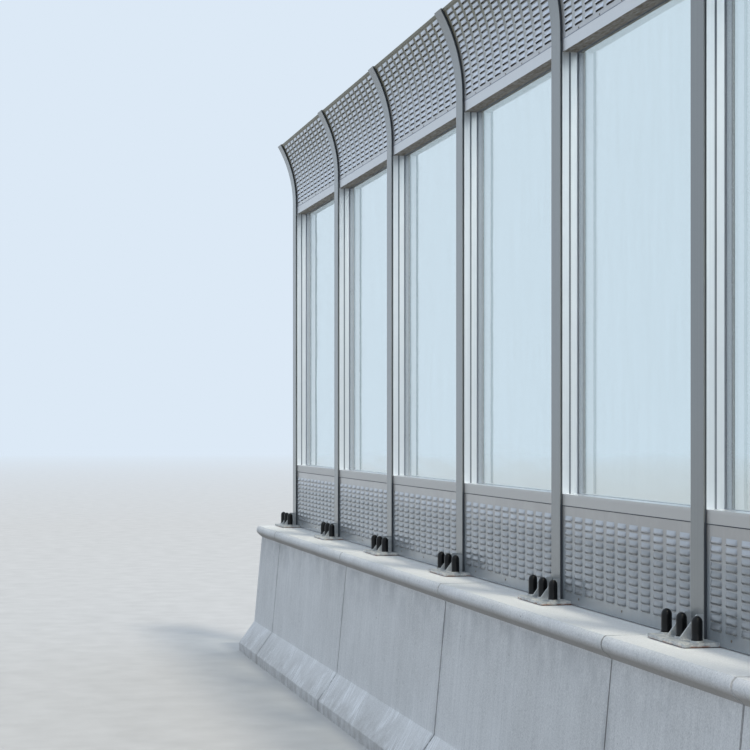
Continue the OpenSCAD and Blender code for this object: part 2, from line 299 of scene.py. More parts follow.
def makeFloor(half):
    # One square, its corners half its width from the middle along X and Y
    mesh = bpy.data.meshes.new("floor")
    corners = np.array([[-1, -1, 0], [1, -1, 0], [1, 1, 0], [-1, 1, 0]]) * half
    mesh.from_pydata(corners.tolist(), [], [[0, 1, 2, 3]])
    mesh.materials.append(makeFinish("pale screed", screed))
    floor = bpy.data.objects.new("floor", mesh)
    bpy.context.scene.collection.objects.link(floor)


def makeBackdrop():
    # One even colour, shown at strength 1, which lights the object at its own strength
    world = bpy.data.worlds.new("even backdrop")
    bpy.context.scene.world = world
    world.use_nodes = True
    world.node_tree.nodes.clear()
    add = functools.partial(addNode, world.node_tree)
    light = add("Background", {
        "Color": stage["backdropLight"], "Strength": stage["backdropStrength"]})
    shown = add("Background", {"Color": stage["backdrop"], "Strength": 1.0})
    add("OutputWorld", {"Surface": add("MixShader", {
        0: seenDirectly(add), 1: light, 2: shown})})


def makeLamp(name):
    # A distant lamp whose light comes from its direction
    strength, colour, degrees, direction = stage[name]
    lamp = bpy.data.lights.new(name, "SUN")
    lamp.energy = strength
    lamp.color = linear(colour)[:3]
    lamp.angle = math.radians(degrees)
    holder = bpy.data.objects.new(name, lamp)
    holder.rotation_euler = Vector(direction).to_track_quat("Z", "Y").to_euler()
    bpy.context.scene.collection.objects.link(holder)


makeFloor(stage["floorHalf"])
makeBackdrop()
makeLamp("mainLamp")
makeLamp("sideLamp")
print("stage set")


# Finishes. Each has a dictionary of its colours, of its pattern sizes in millimetres, one
# number or one for each axis, and of ranges over a place in metres. A range is the inputs
# of a Map Range node: it starts at 1 and ends at 2, and gives 3 there and 4 there, which
# are 0 and 1 where they aren't named.

concreteLook = {
    # what faces up gets painted sunlight, a lighter colour that is partly bleaching
    "dull": "#C9C9C9", "bright": "#D8D8D8", "streak": "#AAACAE", "bleachedAndSunlit": "#E6E5E2",
    "sandDark": "#8E8E8C", "sandLight": "#F0F0EC", "hole": "#62615F", "damp": "#9A9C9E",
    # the film colour is both real brown film at the foot and painted shade under the roll
    "dirt": "#6B6863", "film": "#8B847C", "scrape": "#F2F3F4",
    "clouds": 650, "streaks": (28, 900, 900), "sand": 9, "cells": 110,
    "dampSize": 240, "filmSize": 90, "strokes": (13, 1000, 150), "patches": 260,
    "strokeLean": 0.6,               # sideways for each metre up
    "crackPitch": 2.96,              # metres between the shrinkage cracks of the parapet
    "jointHalf": 0.01,               # half the open joint between two of its sections
    "belowRoll": {1: 1.05, 2: 1.03},
    "dampUp": {1: 0.75, 2: 1.0, 4: 0.35},
    "dampByCrack": {1: 0.07, 2: 0.0, 4: 0.6},
    "dirtInCrack": {1: 0.012, 2: 0.005, 4: 0.5},
    "dirtFront": {1: -0.30, 2: -0.34},
    "foot": {1: 0.28, 2: 0.0},
    "toeTop": {1: 0.30, 2: 0.26},
    "toeFoot": {1: 0.06, 2: 0.09},
    "toeFront": {1: -0.10, 2: -0.15},
}
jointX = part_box("parapet_3")[1][0] + concreteLook["jointHalf"]   # a crack is counted from it


def castConcrete(add, coords):
    # Cast concrete off steel forms: matte light grey, faint upright streaks of the form
    # and of rain, a top painted lighter as painted sunlight, small round air holes, dirt
    # and damp at the cracks, brown film at the foot, painted brown shade under the roll,
    # and a scraped toe
    k = concreteLook
    place = add("SeparateXYZ", {0: coords}).outputs
    facing = add("SeparateXYZ", {0: add("NewGeometry").outputs["Normal"]}).outputs["Z"]
    clouds = add("MapRange", {1: 0.34, 2: 0.66, 0: add("TexNoise", {
        "Vector": coords, "Scale": perMetre(k["clouds"]), "Detail": 5, "Roughness": 0.6})})
    colour = add("Mix", colours, {0: clouds, 6: k["dull"], 7: k["bright"]})
    # rain and form streaks, narrow and most of a metre long, on upright faces
    long = add("Mapping", {"Vector": coords, "Scale": perMetre(k["streaks"])})
    streaks = add("MapRange", {1: 0.42, 2: 0.74, 4: 0.34, 0: add("TexNoise", {
        "Vector": long, "Scale": 1, "Detail": 4, "Roughness": 0.62})})
    upright = add("MapRange", {0: facing, 1: 0.9, 2: 0.2})
    streaks = add("Math", times, {0: streaks, 1: upright})
    colour = add("Mix", colours, {0: streaks, 6: colour, 7: k["streak"]})
    # painted sunlight: what faces up is painted lighter, partly also bleached by rain and sun
    bleachedAndSunlit = add("MapRange", {0: facing, 1: 0.8, 2: 1.0, 4: 0.9})
    colour = add("Mix", colours, {0: bleachedAndSunlit, 6: colour, 7: k["bleachedAndSunlit"]})
    # sand in the skin, drawn coarser than it is so that it shows
    sand = add("TexNoise", {
        "Vector": coords, "Scale": perMetre(k["sand"]), "Detail": 4, "Roughness": 0.8})
    skin = add("ValToRGB", {0: sand}, stops=((0.3, k["sandDark"]), (0.7, k["sandLight"])))
    colour = add("Mix", overlay, {0: 0.6, 6: colour, 7: skin})
    # air holes: about a third of the cells have one, of up to 6 mm in radius
    cells = add("TexVoronoi", {"Vector": coords, "Scale": perMetre(k["cells"])})
    chosen = add("SeparateColor", {0: cells.outputs["Color"]}).outputs["Red"]
    width = add("MapRange", {0: chosen, 1: 0.6, 2: 1.0, 4: 0.05})
    hole = add("MapRange", {1: -0.01, 2: 0.01, 3: 1.0, 4: 0.0, 0: add("Math", less, {
        0: cells.outputs["Distance"], 1: width})})
    hole = add("Math", times, {0: hole, 1: add("MapRange", {0: chosen, 1: 0.62, 2: 0.64})})
    colour = add("Mix", colours, {
        0: add("Math", times, {0: hole, 1: 0.9}), 6: colour, 7: k["hole"]})
    # damp shows darker in soft blots, below the roll and beside each crack
    damp = add("MapRange", {1: 0.42, 2: 0.62, 0: add("TexNoise", {
        "Vector": coords, "Scale": perMetre(k["dampSize"]), "Detail": 4, "Roughness": 0.6})})
    fromCrack = add("Math", {"operation": "PINGPONG"}, {
        0: add("Math", less, {0: place["X"], 1: jointX}), 1: k["crackPitch"] / 2})
    damp = add("Math", times, {
        0: damp, 1: add("MapRange", {0: place["Z"], **k["belowRoll"]})})
    damp = add("Math", times, {0: damp, 1: add("Math", larger, {
        0: add("MapRange", {0: place["Z"], **k["dampUp"]}),
        1: add("MapRange", {0: fromCrack, **k["dampByCrack"]})})})
    colour = add("Mix", colours, {0: damp, 6: colour, 7: k["damp"]})
    # dirt stands in each crack and joint of the front
    seam = add("Math", times, {
        0: add("MapRange", {0: fromCrack, **k["dirtInCrack"]}),
        1: add("MapRange", {0: place["Y"], **k["dirtFront"]})})
    colour = add("Mix", colours, {0: seam, 6: colour, 7: k["dirt"]})
    # painted shade: what faces down, under the roll, is painted brown-dark for its shade and
    # the road's reflection; real brown film creeps up from the ground
    paintedUnderShade = add("MapRange", {0: facing, 1: 0.0, 2: -0.8, 4: 0.65})
    blots = add("TexNoise", {
        "Vector": coords, "Scale": perMetre(k["filmSize"]), "Detail": 4})
    foot = add("Math", times, {
        0: add("MapRange", {0: place["Z"], **k["foot"]}),
        1: add("MapRange", {0: blots, 1: 0.3, 2: 0.7, 3: 0.08, 4: 0.6})})
    film = add("Math", larger, {0: paintedUnderShade, 1: foot})
    colour = add("Mix", colours, {0: film, 6: colour, 7: k["film"]})
    # scrapes on the toe: pale slanting strokes, narrow and long, in patches
    lean = add("CombineXYZ", {
        0: add("Math", {"operation": "MULTIPLY_ADD"}, {
            0: place["Z"], 1: k["strokeLean"], 2: place["X"]}),
        2: place["Z"]})
    strokes = add("TexNoise", {
        "Scale": 1, "Detail": 3, "Roughness": 0.7, "Distortion": 0.8, "Vector": add(
            "Mapping", {"Vector": lean, "Scale": perMetre(k["strokes"])})})
    patches = add("TexNoise", {
        "Vector": coords, "Scale": perMetre(k["patches"]), "Detail": 3})
    toe = add("Math", times, {
        0: add("MapRange", {0: place["Z"], **k["toeTop"]}),
        1: add("MapRange", {0: place["Z"], **k["toeFoot"]})})
    toe = add("Math", times, {0: toe, 1: add("MapRange", {0: place["Y"], **k["toeFront"]})})
    scrapes = add("Math", times, {0: toe, 1: add("Math", times, {
        0: add("MapRange", {0: strokes, 1: 0.49, 2: 0.60, 4: 0.8}),
        1: add("MapRange", {0: patches, 1: 0.47, 2: 0.58})})})
    colour = add("Mix", colours, {0: scrapes, 6: colour, 7: k["scrape"]})
    grit = add("Bump", {"Height": sand, "Strength": 0.35, "Distance": 0.0012})
    relief = add("Math", less, {0: clouds, 1: hole})
    return add("BsdfPrincipled", {
        "Base Color": colour, "Roughness": 0.88, "Specular IOR Level": 0.35,
        "Normal": add("Bump", {
            "Height": relief, "Strength": 0.6, "Distance": 0.003, "Normal": grit})})


boardLook = {"dark": "#1F1D1B", "pale": "#3D3833", "fibres": (4, 4, 18)}


def fillerBoard(add, coords):
    # Bitumen-soaked fibre board: near black brown, matt, coarse upright fibres
    k = boardLook
    fibres = add("TexNoise", {"Scale": 1, "Detail": 4, "Roughness": 0.7, "Vector": add(
        "Mapping", {"Vector": coords, "Scale": perMetre(k["fibres"])})})
    colour = add("Mix", colours, {
        0: add("MapRange", {0: fibres, 1: 0.35, 2: 0.65}), 6: k["dark"], 7: k["pale"]})
    return add("BsdfPrincipled", {
        "Base Color": colour, "Roughness": 0.9,
        "Normal": add("Bump", {"Height": fibres, "Strength": 0.6, "Distance": 0.002})})


mortarLook = {
    "dark": "#4A4743", "pale": "#6B6761", "rust": "#7A4A2C", "grit": 4, "rustSize": 70}


def beddingMortar(add, coords):
    # Trowelled cement mortar under the plates: dark grey, gritty, browned by rust that
    # weeps out from under the steel
    k = mortarLook
    grit = add("TexNoise", {
        "Vector": coords, "Scale": perMetre(k["grit"]), "Detail": 4, "Roughness": 0.75})
    colour = add("Mix", colours, {
        0: add("MapRange", {0: grit, 1: 0.35, 2: 0.65}), 6: k["dark"], 7: k["pale"]})
    weeping = add("TexNoise", {
        "Vector": coords, "Scale": perMetre(k["rustSize"]), "Detail": 3})
    rusty = add("MapRange", {0: weeping, 1: 0.50, 2: 0.62, 4: 0.8})
    colour = add("Mix", colours, {0: rusty, 6: colour, 7: k["rust"]})
    return add("BsdfPrincipled", {
        "Base Color": colour, "Roughness": 0.95,
        "Normal": add("Bump", {"Height": grit, "Strength": 0.7, "Distance": 0.0015})})


paintLook = {
    "dark": "#6F7372", "pale": "#7E8180", "rain": "#606365", "rust": "#7A4B2B",
    "spangle": 16, "runs": (14, 14, 1400), "specks": 9, "skin": 5,
    "rustLow": {1: 1.55, 2: 1.17, 3: 0.10, 4: 0.8},
}


def paintedSteel(add, coords):
    # Hot-dip zinc under a coat of grey paint: satin mid grey, faint spangle, upright
    # runs of rain, and a few rust specks low down
    k = paintLook
    height = add("SeparateXYZ", {0: coords}).outputs["Z"]
    spangle = add("TexVoronoi", {"Vector": coords, "Scale": perMetre(k["spangle"])})
    tone = add("SeparateColor", {0: spangle.outputs["Color"]}).outputs["Red"]
    colour = add("Mix", colours, {
        0: add("Math", times, {0: tone, 1: 0.35}), 6: k["dark"], 7: k["pale"]})
    runs = add("TexNoise", {"Scale": 1, "Detail": 4, "Roughness": 0.6, "Vector": add(
        "Mapping", {"Vector": coords, "Scale": perMetre(k["runs"])})})
    colour = add("Mix", colours, {
        0: add("MapRange", {0: runs, 1: 0.45, 2: 0.7, 4: 0.3}), 6: colour, 7: k["rain"]})
    specks = add("MapRange", {1: 0.70, 2: 0.76, 0: add("TexNoise", {
        "Vector": coords, "Scale": perMetre(k["specks"]), "Detail": 5, "Roughness": 0.8})})
    low = add("MapRange", {0: height, **k["rustLow"]})
    colour = add("Mix", colours, {
        0: add("Math", times, {0: specks, 1: low}), 6: colour, 7: k["rust"]})
    skin = add("TexNoise", {"Vector": coords, "Scale": perMetre(k["skin"]), "Detail": 3})
    return add("BsdfPrincipled", {
        "Base Color": colour, "Metallic": 0.1, "Specular IOR Level": 0.1,
        "Coat Weight": 1.0, "Coat Roughness": 0.25,
        "Roughness": add("MapRange", {0: tone, 3: 0.40, 4: 0.50}),
        "Normal": add("Bump", {"Height": skin, "Strength": 0.12, "Distance": 0.0006})})


zincLook = {
    "dark": "#A0A4A6", "pale": "#BDBFBE", "cement": "#D8D5CD", "rust": "#8A5433",
    "clouds": 60, "smears": (90, 40, 40), "blots": 40, "weeps": 14, "skin": 7,
    "smearLow": {1: 1.20, 2: 1.172},
    "lowerEdge": {1: 1.162, 2: 1.155},
}


def plateZinc(add, coords):
    # Hot-dip zinc plate: pale grey with cement wiped over it, rust along its lower edge
    k = zincLook
    height = add("SeparateXYZ", {0: coords}).outputs["Z"]
    clouds = add("TexNoise", {
        "Vector": coords, "Scale": perMetre(k["clouds"]), "Detail": 4, "Roughness": 0.6})
    colour = add("Mix", colours, {
        0: add("MapRange", {0: clouds, 1: 0.35, 2: 0.65}), 6: k["dark"], 7: k["pale"]})
    smear = add("TexNoise", {"Scale": 1, "Detail": 4, "Roughness": 0.7, "Vector": add(
        "Mapping", {"Vector": coords, "Scale": perMetre(k["smears"])})})
    smear = add("Math", times, {
        0: add("MapRange", {0: smear, 1: 0.48, 2: 0.60, 4: 0.8}),
        1: add("MapRange", {0: height, **k["smearLow"]})})
    colour = add("Mix", colours, {0: smear, 6: colour, 7: k["cement"]})
    blots = add("TexNoise", {
        "Vector": coords, "Scale": perMetre(k["blots"]), "Detail": 3})
    edge = add("Math", times, {
        0: add("MapRange", {0: height, **k["lowerEdge"]}),
        1: add("MapRange", {0: blots, 1: 0.40, 2: 0.62, 4: 0.9})})
    weep = add("MapRange", {1: 0.64, 2: 0.72, 4: 0.5, 0: add("TexNoise", {
        "Vector": coords, "Scale": perMetre(k["weeps"]), "Detail": 5, "Roughness": 0.8})})
    rusty = add("Math", larger, {0: edge, 1: weep})
    colour = add("Mix", colours, {0: rusty, 6: colour, 7: k["rust"]})
    skin = add("TexNoise", {
        "Vector": coords, "Scale": perMetre(k["skin"]), "Detail": 4, "Roughness": 0.7})
    return add("BsdfPrincipled", {
        "Base Color": colour, "Roughness": 0.6, "Metallic": 0.15,
        "Normal": add("Bump", {"Height": skin, "Strength": 0.35, "Distance": 0.001})})


capLook = {
    "black": "#060708", "worn": "#0B0C0E", "dust": "#8C8A84", "dustSize": 5, "grain": 2.5}


def capPlastic(add, coords):
    # Moulded polyethylene: black, soft gloss, a little dust lying on the crown
    k = capLook
    facing = add("SeparateXYZ", {0: add("NewGeometry").outputs["Normal"]}).outputs["Z"]
    lying = add("TexNoise", {
        "Vector": coords, "Scale": perMetre(k["dustSize"]), "Detail": 4, "Roughness": 0.7})
    dust = add("Math", times, {
        0: add("MapRange", {0: facing, 1: 0.75, 2: 1.0}),
        1: add("MapRange", {0: lying, 1: 0.45, 2: 0.7, 4: 0.12})})
    grain = add("TexNoise", {"Vector": coords, "Scale": perMetre(k["grain"])})
    colour = add("Mix", colours, {
        0: add("MapRange", {0: grain, 1: 0.3, 2: 0.7}), 6: k["black"], 7: k["worn"]})
    return add("BsdfPrincipled", {
        "Base Color": add("Mix", colours, {0: dust, 6: colour, 7: k["dust"]}),
        "Roughness": add("MapRange", {0: dust, 2: 0.2, 3: 0.28, 4: 0.45}),
        "IOR": 1.51, "Specular IOR Level": 0.25,
        "Normal": add("Bump", {"Height": grain, "Strength": 0.15, "Distance": 0.0003})})


rubberLook = {
    "runs": (6, 6, 220), "skin": 3,
    # fresh and dusty colour of each rubber
    "black": ("#3E4247", "#575C61"),
    "grey": ("#8D94A0", "#A2A8B2"),
    "strip": ("#757B84", "#8A9098"),
}


def extrudedRubber(add, coords, fresh, dusty):
    # Extruded EPDM rubber: matt, greyed by dust in long runs
    k = rubberLook
    runs = add("TexNoise", {"Scale": 1, "Detail": 3, "Roughness": 0.6, "Vector": add(
        "Mapping", {"Vector": coords, "Scale": perMetre(k["runs"])})})
    colour = add("Mix", colours, {
        0: add("MapRange", {0: runs, 1: 0.4, 2: 0.75, 4: 0.7}), 6: fresh, 7: dusty})
    skin = add("TexNoise", {"Vector": coords, "Scale": perMetre(k["skin"])})
    return add("BsdfPrincipled", {
        "Base Color": colour, "Roughness": 0.75, "Specular IOR Level": 0.3,
        "Normal": add("Bump", {"Height": skin, "Strength": 0.2, "Distance": 0.0004})})


sheetLook = {
    # plain sheet: washed, and under the film of the low panel's foot and top, and on the head
    # painted brown-dark as painted shade and the road's reflection on some film
    "plain": "#B6B7B9", "footFilm": "#8A9196", "lowFilm": "#A6A39F", "headFilmAndShade": "#7F7C69",
    # hoods: painted pale as painted sky reflection on washed hoods, on the low panel and on the
    # head, and with what film is left on the low
    "lowHoodAndSkyReflection": "#B9BEC6", "headHoodAndSkyReflection": "#DCE4F0", "filmedHood": "#5F656A",
    # slot insides: painted light in the low panels, painted shade in the head
    "lowSlotPaintedLight": "#BDBBB8", "headSlotPaintedShade": "#5C564F", "dust": "#8D8C88",
    "cloudDark": "#6C6C6C", "cloudLight": "#9A9A9A",
    "clouds": 260, "dustSize": (24, 24, 160), "ripples": 45,
    "onHead": {1: 2.9, 2: 3.1},
    "upLow": {1: 1.45, 2: 1.62},
    "upHead": {1: 4.10, 2: 4.50},
    "leftOnLow": {1: 1.56, 2: 1.49, 3: 0.15, 4: 0.9},
}


def louvreSheet(add, coords):
    # Pressed aluminium sheet with a silver-grey baked coat: satin, slightly uneven from
    # the press. A brown-grey film stays on the plain sheet all over the low panels, bluer and
    # darker at their foot; where the head leans over, its plain sheet is painted brown-dark as
    # painted shade and the road's reflection, on some film. The hoods of the low panel's upper
    # rows and all of the head's are painted pale blue-white, as painted sky reflection on hoods
    # rinsed clean; the low panel's lower hoods keep a dark film. The insides of the slots are
    # painted: pale in the low panels as painted light, dark in the head as painted shade.
    # The mesh numbers its faces: 0 plain sheet, 1 hood, 2 inside of a slot.
    k = sheetLook
    height = add("SeparateXYZ", {0: coords}).outputs["Z"]
    number = add("Attribute", {"attribute_name": "surface"}, {}).outputs["Fac"]
    hood = add("Math", {"operation": "COMPARE"}, {0: number, 1: 1.0, 2: 0.4})
    inside = add("Math", {"operation": "GREATER_THAN"}, {0: number, 1: 1.5})
    clouds = add("MapRange", {1: 0.35, 2: 0.65, 0: add("TexNoise", {
        "Vector": coords, "Scale": perMetre(k["clouds"]), "Detail": 4, "Roughness": 0.6})})
    above = add("MapRange", {0: height, **k["onHead"]})
    # how much film, and on the head how much painted shade, there is on the plain sheet, and
    # how much is left on the hoods
    headFilmAndShade = add("MapRange", {0: height, **k["upHead"]})
    filmed = add("Mix", amounts, {0: above, 2: 1.0, 3: headFilmAndShade})
    left = add("Mix", amounts, {
        0: above, 2: add("MapRange", {0: height, **k["leftOnLow"]}),
        3: add("Math", times, {0: headFilmAndShade, 1: 0.2})})
    film = add("MapRange", {0: height, **k["upLow"]})
    film = add("Mix", colours, {0: film, 6: k["footFilm"], 7: k["lowFilm"]})
    # painted shade and the road's reflection: the head's plain sheet is painted brown-dark
    film = add("Mix", colours, {0: above, 6: film, 7: k["headFilmAndShade"]})
    plain = add("Mix", colours, {0: filmed, 6: k["plain"], 7: film})
    # painted sky reflection: the hoods are painted pale blue-white, on hoods rinsed clean
    rinsedAndSkyReflection = add("Mix", colours, {0: above, 6: k["lowHoodAndSkyReflection"], 7: k["headHoodAndSkyReflection"]})
    rinsedAndSkyReflection = add("Mix", colours, {0: left, 6: rinsedAndSkyReflection, 7: add("Mix", colours, {
        0: above, 6: k["filmedHood"], 7: film})})
    colour = add("Mix", colours, {0: hood, 6: plain, 7: rinsedAndSkyReflection})
    uneven = add("ValToRGB", {0: clouds}, stops=((0.2, k["cloudDark"]), (0.8, k["cloudLight"])))
    colour = add("Mix", overlay, {0: 0.3, 6: colour, 7: uneven})
    dust = add("MapRange", {1: 0.5, 2: 0.75, 4: 0.22, 0: add("TexNoise", {
        "Scale": 1, "Detail": 4, "Roughness": 0.65, "Vector": add(
            "Mapping", {"Vector": coords, "Scale": perMetre(k["dustSize"])})})})
    colour = add("Mix", colours, {0: dust, 6: colour, 7: k["dust"]})
    # painted light and shade inside the slots: pale in the low panels, dark in the head
    slotPaintedLightAndShade = add("Mix", colours, {0: above, 6: k["lowSlotPaintedLight"], 7: k["headSlotPaintedShade"]})
    colour = add("Mix", colours, {0: inside, 6: colour, 7: slotPaintedLightAndShade})
    # the film takes the gloss off the plain sheet of the head
    matted = add("Math", times, {0: add("Math", times, {0: above, 1: filmed}), 1: add(
        "Math", less, {0: 1.0, 1: hood})})
    ripple = add("TexNoise", {"Vector": coords, "Scale": perMetre(k["ripples"])})
    return add("BsdfPrincipled", {
        "Base Color": colour, "Coat Roughness": 0.2,
        "Coat Weight": add("MapRange", {0: matted, 3: 1.0, 4: 0.15}),
        "Metallic": add("Math", {"operation": "SUBTRACT", "use_clamp": True}, {
            0: add("MapRange", {
                0: add("Math", times, {0: hood, 1: above}), 3: 0.1, 4: 0.4}), 1: inside}),
        "Roughness": add("MapRange", {0: filmed, 3: 0.36, 4: 0.50}),
        "Normal": add("Bump", {"Height": ripple, "Strength": 0.25, "Distance": 0.002})})


extrusionLook = {
    # film is the front's film and painted shade; the drip colour is painted shade and road
    # reflection on what faces down
    "dull": "#DCDFE4", "bright": "#EAECEF", "film": "#B9B7B3", "undersideShadeAndDrips": "#6E6250",
    "lines": (2.5, 2.5, 1800), "dripSize": (60, 14, 60),
    "sill": {1: 1.74, 2: 1.70, 3: 0.35, 4: 1.0},
}


def frameAluminium(add, coords):
    # Extruded aluminium, natural anodised: silvery satin, hair-fine draw lines up the
    # stiles, the faces towards the front dulled and darkened as film and painted shade, most
    # of all the sill's, and what faces down, under the transom, painted brown-dark as painted
    # shade and the road's reflection, streaked like drips
    k = extrusionLook
    height = add("SeparateXYZ", {0: coords}).outputs["Z"]
    facing = add("SeparateXYZ", {0: add("NewGeometry").outputs["Normal"]}).outputs
    draw = add("MapRange", {1: 0.3, 2: 0.7, 0: add("TexNoise", {
        "Scale": 1, "Detail": 3, "Roughness": 0.7, "Vector": add(
            "Mapping", {"Vector": coords, "Scale": perMetre(k["lines"])})})})
    colour = add("Mix", colours, {0: draw, 6: k["dull"], 7: k["bright"]})
    # film and painted shade: faces towards the front are painted duller and darker, most of all at
    # the sill
    film = add("Math", times, {
        0: add("MapRange", {0: facing["Y"], 1: -0.5, 2: -0.9}),
        1: add("MapRange", {0: height, **k["sill"]})})
    colour = add("Mix", colours, {0: film, 6: colour, 7: k["film"]})
    # painted shade and the road's reflection: what faces down is painted brown-dark, streaked like
    # drips
    undersideShadeAndDrips = add("TexNoise", {"Scale": 1, "Detail": 4, "Roughness": 0.7, "Vector": add(
        "Mapping", {"Vector": coords, "Scale": perMetre(k["dripSize"])})})
    paintedUndersideShade = add("Math", times, {
        0: add("MapRange", {0: facing["Z"], 1: -0.5, 2: -0.9}),
        1: add("MapRange", {0: undersideShadeAndDrips, 1: 0.3, 2: 0.7, 3: 0.55, 4: 1.0})})
    colour = add("Mix", colours, {0: paintedUndersideShade, 6: colour, 7: k["undersideShadeAndDrips"]})
    dulledAndShaded = add("Math", larger, {0: film, 1: paintedUndersideShade})
    return add("BsdfPrincipled", {
        "Base Color": colour, "Metallic": add("MapRange", {0: dulledAndShaded, 3: 0.95, 4: 0.2}),
        "Roughness": add("Mix", amounts, {
            0: paintedUndersideShade, 2: add("MapRange", {0: draw, 3: 0.33, 4: 0.42}), 3: 0.8}),
        "Normal": add("Bump", {"Height": draw, "Strength": 0.10, "Distance": 0.0003})})


acrylicLook = {
    "tint": "#E6F0F0", "shadowTint": "#F8FBFB",
    "waves": (700, 700, 160), "veil": (90, 90, 500)}


def clearAcrylic(add, coords):
    # Cast acrylic sheet, 15 mm: clear with the faintest green-blue, a slow waviness from
    # the casting that moves its reflections, and a thin veil of dust. The lamp's light
    # goes straight through it.
    k = acrylicLook
    waves = add("TexNoise", {"Scale": 1, "Detail": 1, "Roughness": 0.4, "Vector": add(
        "Mapping", {"Vector": coords, "Scale": perMetre(k["waves"])})})
    veil = add("TexNoise", {"Scale": 1, "Detail": 4, "Roughness": 0.6, "Vector": add(
        "Mapping", {"Vector": coords, "Scale": perMetre(k["veil"])})})
    clear = add("MapRange", {0: veil, 1: 0.35, 2: 0.7, 3: 0.985, 4: 0.955})
    shader = add("BsdfPrincipled", {
        "Base Color": k["tint"], "Roughness": 0.015, "IOR": 1.49, "Transmission Weight": clear,
        "Normal": add("Bump", {"Height": waves, "Strength": 0.25, "Distance": 0.004})})
    passing = add("BsdfTransparent", {"Color": k["shadowTint"]})
    return add("MixShader", {
        0: add("LightPath").outputs["Is Shadow Ray"], 1: shader, 2: passing})


headLook = {"brown": "#5D4A3A", "steel": "#7F7A72", "mottle": 4}


def brownedSteel(add, coords):
    # Plain steel screw and rivet heads, browned by weather
    k = headLook
    mottle = add("TexNoise", {
        "Vector": coords, "Scale": perMetre(k["mottle"]), "Detail": 3, "Roughness": 0.7})
    colour = add("Mix", colours, {
        0: add("MapRange", {0: mottle, 1: 0.35, 2: 0.65}), 6: k["brown"], 7: k["steel"]})
    return add("BsdfPrincipled", {
        "Base Color": colour, "Roughness": 0.6, "Metallic": 0.4,
        "Normal": add("Bump", {"Height": mottle, "Strength": 0.3, "Distance": 0.0004})})


concrete = makeFinish("cast concrete", castConcrete)
board = makeFinish("bitumen fibre board", fillerBoard)
mortar = makeFinish("cement mortar", beddingMortar)
postSteel = makeFinish("painted zinc-coated steel", paintedSteel)
plateSteel = makeFinish("zinc-coated plate", plateZinc)
blackPlastic = makeFinish("moulded black polyethylene", capPlastic)
blackRubber = makeFinish("black rubber", extrudedRubber, *rubberLook["black"])
greyRubber = makeFinish("grey glazing rubber", extrudedRubber, *rubberLook["grey"])
stripRubber = makeFinish("dusty groove rubber", extrudedRubber, *rubberLook["strip"])
sheet = makeFinish("coated aluminium sheet", louvreSheet)
aluminium = makeFinish("anodised aluminium", frameAluminium)
acrylic = makeFinish("cast acrylic", clearAcrylic)
headSteel = makeFinish("weathered steel heads", brownedSteel)
finishOf = {
    "parapet": concrete, "joint_fillers": board, "mortar_beds": mortar, "post": postSteel,
    "base_plate": plateSteel, "anchor_caps": blackPlastic, "edge_strips": blackRubber,
    "pane_seals": greyRubber, "lower_panel": sheet, "curved_panel": sheet,
    "window_frame": aluminium, "pane": acrylic,
}
for name, node in nodes.items():
    kind = name if name in finishOf else name.rsplit("_", 1)[0]
    node.data.materials.clear()
    node.data.materials.append(finishOf[kind])
print("finishes set")


# Louvred panels

louvres = {
    "columns": 11,
    "columnPitch": 164,
    "half": 58,          # half the width of a louvre
    "rowPitch": 36,
    "hood": 30,          # from the slot's lower edge to the top of the hood
    "out": 9,            # how far the lip stands out
    "sheet": 2,
    "across": (-1, -0.93, -0.72, 0, 0.72, 0.93, 1),     # its lines from end to end
    "up": (0.35, 0.7),   # and its two inner ones from lip to top
    "acrossPower": 4,    # powers of the hood's shape across and from lip to top
    "upPower": 1.4,
    "hem": 20,           # height of the plain strip along the top of a panel
}
# slot is its height and pocket the depth of the hollow behind it; the ends of a low panel
# stand up by the notch to clear the base plates, and notchHalf is half the length between
lowerPanel = {
    "height": 500, "rows": 11, "first": 62, "slot": 5, "pocket": 6, "notch": 15, "notchHalf": 779}
# a curved panel's top strip is folded: how far it stands out and goes in, half its length,
# and what is taken off its upper and lower outer corners
curvedPanel = {
    "height": 590, "rows": 15, "first": 30, "slot": 6, "pocket": 9, "notch": 0,
    "hemOut": 3, "hemIn": 6, "hemHalf": 922, "hemUpper": 1.5, "hemLower": 1.2}


